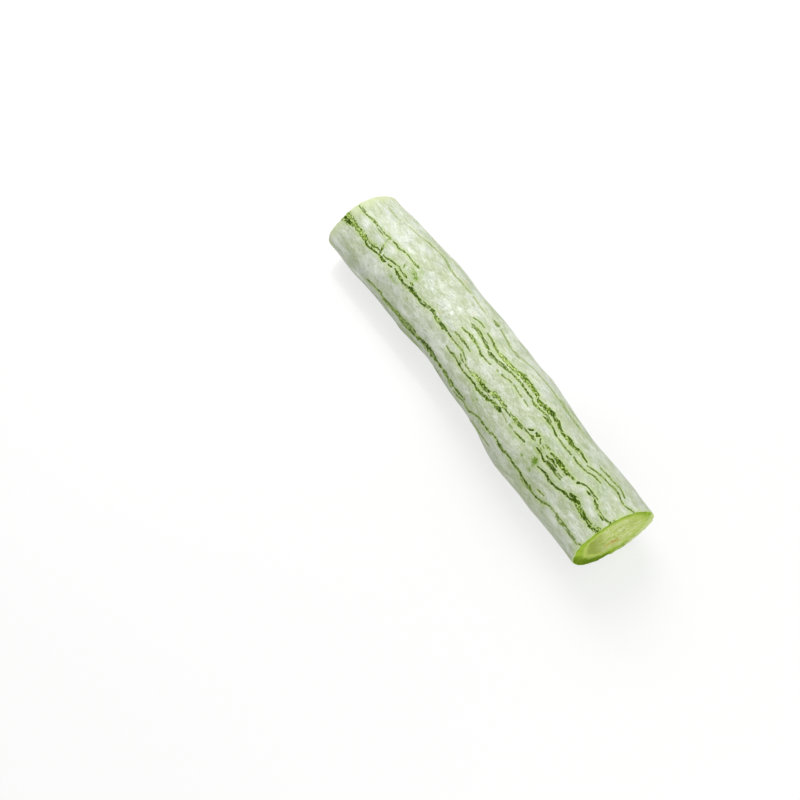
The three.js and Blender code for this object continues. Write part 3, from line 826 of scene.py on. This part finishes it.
def skin_material():
    n = Nodes("gourd_skin_wax")
    n.bend(24, 2.6, seed=5)
    # clouds of thicker and thinner wax, streaks that run along the fruit, and fine fibres
    clouds = n.grain((20, 13, 13), detail=2, seed=3, distortion=0.6)
    patches = n.grain((9, 4.5, 4.5), detail=2, rough=0.55, seed=7, distortion=0.3)
    tints = n.grain((9, 6, 6), detail=3, rough=0.55, seed=8, distortion=0.3)
    streaks = n.grain((5.2, 1.1, 1.1), detail=3, rough=0.6, seed=2, distortion=0.2)
    fibres = n.grain((2.3, 0.5, 0.5), detail=2, rough=0.6, seed=1)
    specks = n.grain((0.9, 0.7, 0.7), detail=2, rough=0.6, seed=14)
    base = n.painted(UNDER_WAX, [
        (clouds, 0.38, 0.6, 0.25, 1, WAX),
        (tints, 0.5, 0.64, 0, 0.75, COOL_WAX),
        (tints, 0.47, 0.34, 0, 0.5, GREEN_WAX),
        (patches, 0.5, 0.7, 0, 0.6, WHITE_WAX_AND_PAINTED_LIGHT),
        (patches, 0.47, 0.3, 0, 0.6, UNDER_WAX),
    ])
    # duller wax, and painted shade near the lower edge and towards the flower cut
    dull_and_painted_shade = n.times(n.stored("dullness_and_painted_shade").outputs["Fac"], n.ramp(patches, 0.3, 0.6, 1.2, 0.7))
    base = n.blend(dull_and_painted_shade, base, DULL_WAX_AND_PAINTED_SHADE)
    base = n.painted(base, [
        (streaks, 0.52, 0.68, 0, 0.32, STREAK),
        (streaks, 0.47, 0.32, 0, 0.3, WHITE_WAX_AND_PAINTED_LIGHT),
        (fibres, 0.52, 0.67, 0, 0.45, STREAK),
        (fibres, 0.48, 0.33, 0, 0.42, WHITE_WAX_AND_PAINTED_LIGHT),
        (specks, 0.52, 0.68, 0, 0.4, STREAK),
    ])

    # blotches, stains and bruises of the upper side; some bruises are painted light on the stem end and the
    # lower side
    spots = n.node("ShaderNodeSeparateXYZ", {0: n.stored("spots").outputs["Vector"]})
    broken = n.ramp(specks, 0.3, 0.7, 0.5, 1.2)
    base = n.blend(n.ramp(n.times(spots.outputs[1], broken), 0.1, 0.8), base, STAIN)
    # painted light: the white bruises brighten the stem end and the lower side, along with pale wax
    bruise_and_painted_light = n.times(spots.outputs[2], n.ramp(patches, 0.35, 0.6, 0.7, 1.2))
    base = n.blend(n.ramp(n.times(bruise_and_painted_light, broken), 0.05, 0.85), base, WHITE_WAX_AND_PAINTED_LIGHT)
    blotch = n.times(spots.outputs[0], broken)
    base = n.painted(base, [
        (blotch, 0.02, 0.4, 0, 0.6, BLOTCH_HAZE),
        (blotch, 0.3, 0.75, 0, 1, BLOTCH_GREEN),
    ])

    # beside a cut the wax is rubbed off
    gap = n.stored("rim_gap").outputs["Fac"]
    rubbed = n.sum(gap, n.times(n.minus(patches, 0.5), 8.0))
    at_stem = n.stored("stem_end").outputs["Fac"]
    rim_colour = n.blend(at_stem, FLOWER_RIM, STEM_RIM)
    worn = n.blend(at_stem, n.ramp(rubbed, 3.0, 0, 0, 0.7), n.ramp(rubbed, 7.0, 1.0, 0, 0.7))
    base = n.blend(worn, base, rim_colour)

    # stripes: each layer gives how far inside a stripe's edge a point is, and how filled the stripe is
    ragged = n.minus(n.grain((0.8, 0.5, 0.5), detail=2, rough=0.7, seed=4), 0.5)
    drift = n.minus(n.grain((3.6, 2, 2), detail=1, seed=5), 0.5)
    swell = n.ramp(n.grain((1.8, 1.1, 1.1), detail=2, seed=6), 0.32, 0.68, 0.6, 1.5)
    wobble = n.sum(n.times(ragged, 1.2), n.times(drift, 0.4))
    depth, stripe, filled = None, None, None
    for k in range(LAYERS):
        parts = n.node("ShaderNodeSeparateXYZ", {0: n.stored(f"stripe_{k}").outputs["Vector"]})
        distance = n.size(n.sum(parts.outputs[0], wobble))
        half = n.sum(n.times(parts.outputs[1], swell), 0.12)
        inner = n.minus(half, distance)
        inside = n.ramp(inner, -0.12, 0.08)
        cover = n.times(inside, parts.outputs[2])
        solid = n.times(inside, n.stored(f"fill_{k}").outputs["Fac"])
        depth = inner if depth is None else n.larger(depth, inner)
        stripe = cover if stripe is None else n.larger(stripe, cover)
        filled = solid if filled is None else n.larger(filled, solid)

    beads = n.grain((1.0, 0.65, 0.65), detail=2, rough=0.65, seed=9)
    mottle = n.grain((3, 1.6, 1.6), detail=2, seed=10)
    halo = n.times(n.stored("halo").outputs["Fac"], n.ramp(mottle, 0.36, 0.6, 0.35, 0.85))
    base = n.blend(halo, base, STRIPE_GLOW)
    bright = n.times(n.ramp(depth, -0.9, -0.1), n.ramp(beads, 0.46, 0.6, 0, 0.8))
    base = n.blend(bright, base, STRIPE_FILL)

    # how much ink there is: even along the edges of a stripe, as filled as the stripe inside it
    at_edge = n.ramp(depth, 0.48, 0.3)
    level = n.blend_number(at_edge, n.times(filled, 0.9), 1.0)
    ink = n.sum(level, n.sum(n.times(n.minus(beads, 0.5), 3.2), n.times(n.minus(mottle, 0.5), 1.2)))
    inks = n.painted(STRIPE_FILL, [
        (ink, 0.05, 0.3, 0, 1, STRIPE_GREEN),
        (ink, 0.3, 0.55, 0, 1, STRIPE_OLIVE),
        (ink, 0.6, 0.9, 0, 1, STRIPE_DARK),
        (stripe, 0.85, 0.5, 0, 0.7, STRIPE_FAINT),
    ])
    gaps = n.ramp(n.grain((2.2, 1.1, 1.1), detail=2, seed=13), 0.32, 0.46, 0.5, 1)
    colour = n.blend(n.times(stripe, gaps), base, inks)
    n.feed(n.shader.inputs["Base Color"], colour)

    n.feed(n.shader.inputs["Roughness"], n.ramp(clouds, 0.3, 0.7, 0.44, 0.56))
    n.feed(n.shader.inputs["Specular IOR Level"], 0.1)
    height = n.sum(n.times(fibres, 0.07), n.times(streaks, 0.16))
    height = n.sum(height, n.times(patches, 0.22))
    height = n.minus(height, n.times(stripe, 0.05))
    bump = n.node("ShaderNodeBump", {"Height": height, "Distance": MM, "Strength": 0.9})
    n.feed(n.shader.inputs["Normal"], bump.outputs[0])
    return n.material


SKIN_LINE = srgb(216, 230, 162)
RIND_GREEN = srgb(130, 164, 24)
RIND_PALE = srgb(164, 194, 62)
RIND_DARK = srgb(84, 112, 0)
FLESH_PALE = srgb(188, 207, 106)
CORE = srgb(194, 209, 112)
CORE_WHITE = srgb(219, 228, 170)
CORE_GREEN = srgb(160, 182, 72)
CORE_PAINTED_SHADE = srgb(152, 168, 72)
SLIT = srgb(112, 136, 46)
ORANGE = srgb(188, 142, 52)


def flesh_material():
    n = Nodes("gourd_cut_flesh")
    parts = n.node("ShaderNodeSeparateXYZ", {0: n.stored("flesh").outputs["Vector"]})
    share, gap, slit = parts.outputs[0], parts.outputs[1], parts.outputs[2]
    stain = n.stored("stain").outputs["Fac"]
    soft = n.grain((6, 6, 6), detail=2, seed=1)
    fine = n.grain((1.6, 1.6, 1.6), detail=3, rough=0.65, seed=2)
    torn = n.grain((3, 3.4, 2.2), detail=3, rough=0.6, seed=3, distortion=1.2)
    crumbs = n.grain((0.9, 0.9, 0.9), detail=2, rough=0.6, seed=4)

    # painted shade makes the rim darkest low down on its -Y side, and the rim is palest where it is torn,
    # low down on its +Y side
    to_torn_side = n.sum(n.towards(0, 0.8, -0.5), n.times(n.minus(torn, 0.5), 24 * MM))
    rind = n.painted(RIND_GREEN, [
        (soft, 0.35, 0.65, 0, 1, RIND_PALE),
        (fine, 0.5, 0.36, 0, 0.45, RIND_PALE),
        (fine, 0.5, 0.64, 0, 0.5, RIND_DARK),
        (n.towards(0, 0.65, 0.7), 5.5 * MM, -3.5 * MM, 0, 0.75, RIND_DARK),
        (to_torn_side, 2 * MM, 9 * MM, 0, 0.75, CORE_WHITE),
    ])
    core = n.painted(CORE, [
        (torn, 0.4, 0.62, 0, 1, CORE_WHITE),
        (soft, 0.5, 0.7, 0, 0.6, CORE_GREEN),
        (fine, 0.49, 0.64, 0, 0.6, CORE_GREEN),
        (crumbs, 0.52, 0.66, 0, 0.45, CORE_WHITE),
        # painted shade: the core turns olive towards its -Y side
        (n.towards(0, 1, 0.1), 1 * MM, -10 * MM, 0, 0.9, CORE_PAINTED_SHADE),
    ])

    wavy = n.sum(share, n.times(n.minus(soft, 0.5), 0.2))
    flesh = n.painted(core, [
        (wavy, 0.62, 0.74, 0, 1, FLESH_PALE),
        (wavy, 0.72, 0.88, 0, 1, rind),
        (gap, 0.5, 0.12, 0, 0.8, SKIN_LINE),
    ])
    flesh = n.blend(n.times(stain, n.ramp(torn, 0.35, 0.6, 0.6, 1)), flesh, ORANGE)
    flesh = n.blend(n.ramp(slit, 0.1, 0.9, 0, 0.75), flesh, SLIT)
    n.feed(n.shader.inputs["Base Color"], flesh)

    n.feed(n.shader.inputs["Roughness"], n.ramp(wavy, 0.66, 0.8, 0.5, 0.36))
    n.feed(n.shader.inputs["Specular IOR Level"], 0.01)
    spongy = n.ramp(wavy, 0.64, 0.78, 1, 0.15)
    height = n.times(n.sum(n.times(fine, 0.5), n.times(crumbs, 0.25)), spongy)
    bump = n.node("ShaderNodeBump", {"Height": height, "Distance": MM, "Strength": 0.8})
    n.feed(n.shader.inputs["Normal"], bump.outputs[0])
    return n.material


# ================================================================ pieces
faces, corner_uv = skin_faces()
skin_piece = new_piece("cut_gourd_skin", skin.reshape(-1, 3), faces, skin_material())
store_map(skin_piece, corner_uv)
for k, layer in enumerate(layers):
    store(skin_piece, f"stripe_{k}", layer[..., :3].reshape(-1, 3))
    store(skin_piece, f"fill_{k}", layer[..., 3].ravel())
store(skin_piece, "spots", spot_field.reshape(-1, 3))
store(skin_piece, "dullness_and_painted_shade", dullness_and_painted_shade.ravel())
store(skin_piece, "halo", stripe_halo.ravel())
store(skin_piece, "rim_gap", np.broadcast_to(rim_gap, along.shape).ravel())
store(skin_piece, "stem_end", np.broadcast_to(shares[:, None] < 0.5, along.shape).ravel())

flesh = flesh_material()


def ellipse(y, z, at_y, at_z, half_length, half_width, slant):
    """1 inside an ellipse on the cut, falling to 0 at its edge."""
    turn = math.radians(slant)
    along_it = (y - at_y) * math.cos(turn) + (z - at_z) * math.sin(turn)
    across_it = (z - at_z) * math.cos(turn) - (y - at_y) * math.sin(turn)
    across_it = across_it + 0.25 * half_width * np.sin(along_it * 1.9 + at_y)
    return 1 - smoothstep(0.3, 1.25, np.sqrt((along_it / half_length) ** 2 + (across_it / half_width) ** 2))


def cut_face(name, rim, plane, core, slits, stains, seed):
    """A cut face that starts from the skin's own rim, and its rough, sunken core."""
    outward_normal = plane[1]
    hub = rim.mean(0)
    ring_share = 1 - np.arange(CUT_RINGS) / CUT_RINGS
    grid = hub + (rim - hub)[None] * ring_share[:, None, None]
    points = np.concatenate([grid.reshape(-1, 3), hub[None]])
    share = np.append(np.repeat(ring_share, COLUMNS), 0)
    reach = np.append(np.linalg.norm(grid - hub, axis=2).ravel(), 0)
    size = np.append(np.tile(np.linalg.norm(rim - hub, axis=1), CUT_RINGS), 1)
    gap = size * (1 - share)
    y, z = points[:, 1] - hub[1], points[:, 2] - hub[2]

    broken = smoothstep(-0.45, 0.2, noise_at(points, (2, 2.4, 0.9), seed + 4))
    slit = np.zeros(len(points))
    relief = np.zeros(len(points))
    for at_y, at_z, half_length, half_width, slant, depth in slits:
        inside = broken * ellipse(y, z, at_y, at_z, half_length, half_width, slant)
        slit = np.maximum(slit, inside)
        relief = np.minimum(relief, -depth * inside)
    stain = np.zeros(len(points))
    for at_y, at_z, half_length, half_width, strength in stains:
        stain = np.maximum(stain, strength * ellipse(y, z, at_y, at_z, half_length, half_width, 0))

    from_core = share - (core[0] * y + core[1] * z) / size**2
    core_edge = CORE_SHARE + 0.035 * noise_at(points, (9, 9, 9), seed)
    spongy = 1 - smoothstep(core_edge - CORE_FADE, core_edge + CORE_FADE, from_core)
    rough = 0.34 * noise_at(points, (4, 5, 3), seed + 1) + 0.2 * noise_at(points, (2, 2.2, 1.4), seed + 2)
    ripple = 0.05 * noise_at(points, (7, 7, 7), seed + 3)
    relief += spongy * (rough - CORE_SUNK) + ripple * smoothstep(0, 1.2, gap)
    points = points + outward_normal * relief[:, None]

    faces, corner_uv = [], []
    disc = np.stack([0.5 + 0.5 * y / size.max(), 0.5 + 0.5 * z / size.max()], 1)
    for i in range(CUT_RINGS - 1):
        for j in range(COLUMNS):
            k = (j + 1) % COLUMNS
            faces.append((i * COLUMNS + j, i * COLUMNS + k, (i + 1) * COLUMNS + k, (i + 1) * COLUMNS + j))
    last = (CUT_RINGS - 1) * COLUMNS
    faces += [(last + j, last + (j + 1) % COLUMNS, len(points) - 1) for j in range(COLUMNS)]
    if outward_normal[0] < 0:
        faces = [face[::-1] for face in faces]
    piece = new_piece(name, points, faces, flesh)
    store_map(piece, disc[[v for face in faces for v in face]])
    store(piece, "flesh", np.stack([from_core, gap, slit], 1))
    store(piece, "stain", stain)


cut_face("flower_end_cut", skin[-1], flower_cut, FLOWER_CORE, FLOWER_SLITS, FLOWER_STAINS, 31)
cut_face("stem_end_cut", skin[0], stem_cut, STEM_CORE, STEM_SLITS, STEM_STAINS, 51)

# ================================================================ floor, light and camera
FLOOR_AT = -0.1  # just under the belly, so that the two flat faces never coincide
FLOOR_REACH = 20.0  # how far the floor reaches from the origin, in metres
WHITE_FROM, WHITE_TO = 0.3, 1.3  # the floor turns plain white between these distances, in metres
LEAST_WHITE = 0.68  # how plain white the floor is beside the gourd, where it still shows the shadow
LIT_GREY, SEEN_GREY = 0.62, 0.97  # the floor as it lights the gourd, and as the camera sees it

floor_mesh = bpy.data.meshes.new("floor")
corners = [(x * FLOOR_REACH, y * FLOOR_REACH) for x, y in ((-1, -1), (1, -1), (1, 1), (-1, 1))]
floor_mesh.from_pydata([(x, y, FLOOR_AT * MM) for x, y in corners], [], [(0, 1, 2, 3)])
floor = bpy.data.objects.new("floor", floor_mesh)
bpy.context.scene.collection.objects.link(floor)
look = Nodes("floor_white")
seen = look.node("ShaderNodeLightPath").outputs["Is Camera Ray"]
grey = look.blend(seen, (LIT_GREY,) * 3, (SEEN_GREY,) * 3)
look.feed(look.shader.inputs["Base Color"], grey)
look.feed(look.shader.inputs["Roughness"], 0.14)
white = look.node("ShaderNodeEmission", {"Color": (1.0, 1.0, 1.0), "Strength": 1.0})
# far from the gourd the floor is plain white, so that no horizon shows
far = look.node("ShaderNodeVectorMath", {0: look.source()}, operation="LENGTH").outputs["Value"]
glow = look.times(seen, look.ramp(far, WHITE_FROM, WHITE_TO, LEAST_WHITE, 1))
mixed = look.node("ShaderNodeMixShader", {0: glow, 1: look.shader.outputs[0], 2: white.outputs[0]})
look.tree.links.new(mixed.outputs[0], look.tree.nodes["Material Output"].inputs[0])
floor_mesh.materials.append(look.material)

world = bpy.data.worlds.new("studio")
bpy.context.scene.world = world
world.use_nodes = True
tree = world.node_tree
tree.nodes.clear()
ray = tree.nodes.new("ShaderNodeLightPath")
mix = tree.nodes.new("ShaderNodeMixShader")
out = tree.nodes.new("ShaderNodeOutputWorld")
tree.links.new(ray.outputs["Is Camera Ray"], mix.inputs[0])
# a dim sky lights the gourd, and the camera sees a white one
skies = [((0.97, 1.0, 0.96, 1), 0.6), ((1, 1, 1, 1), 1.0)]
for socket, (colour, strength) in enumerate(skies, 1):
    sky = tree.nodes.new("ShaderNodeBackground")
    sky.inputs["Color"].default_value = colour
    sky.inputs["Strength"].default_value = strength
    tree.links.new(sky.outputs[0], mix.inputs[socket])
tree.links.new(mix.outputs[0], out.inputs[0])

target = (cad_bounds[0] + cad_bounds[1]) / 2


def area_light(name, direction, distance, size, power):
    """A square lamp that faces the gourd: its distance and size are metres, its power is watts."""
    light = bpy.data.lights.new(name, "AREA")
    light.size = size
    light.energy = power
    obj = bpy.data.objects.new(name, light)
    bpy.context.scene.collection.objects.link(obj)
    obj.location = target + Vector(direction).normalized() * distance
    obj.rotation_mode = "QUATERNION"
    obj.rotation_quaternion = (obj.location - target).to_track_quat("Z", "Y")


area_light("key", (-0.62, 0.32, 0.85), 0.95, 0.6, 5.9)
area_light("end_fill", (0.97, -0.25, 0.2), 0.7, 0.4, 1.5)

AZIMUTH, ELEVATION = math.radians(55), math.radians(68)
DISTANCE = 1.5  # metres
LENS, SENSOR = 115.5, 36  # mm
AIM_LEFT, AIM_DOWN = 0.0498, 0.0141  # how far the camera stands off the gourd's middle, in metres
back = Vector((
    math.sin(AZIMUTH) * math.cos(ELEVATION),
    -math.cos(AZIMUTH) * math.cos(ELEVATION),
    math.sin(ELEVATION),
))
right = Vector((math.cos(AZIMUTH), math.sin(AZIMUTH), 0))
up = back.cross(right)
chord_middle = Vector((stem_cut[0] + flower_cut[0]) / 2) * MM
camera_data = bpy.data.cameras.new("camera")
camera_data.lens = LENS
camera_data.sensor_width = SENSOR
camera = bpy.data.objects.new("camera", camera_data)
bpy.context.scene.collection.objects.link(camera)
camera.location = chord_middle - right * AIM_LEFT - up * AIM_DOWN + back * DISTANCE
camera.rotation_mode = "QUATERNION"
camera.rotation_quaternion = back.to_track_quat("Z", "Y")
bpy.context.scene.camera = camera
bpy.context.scene.view_settings.view_transform = "Standard"
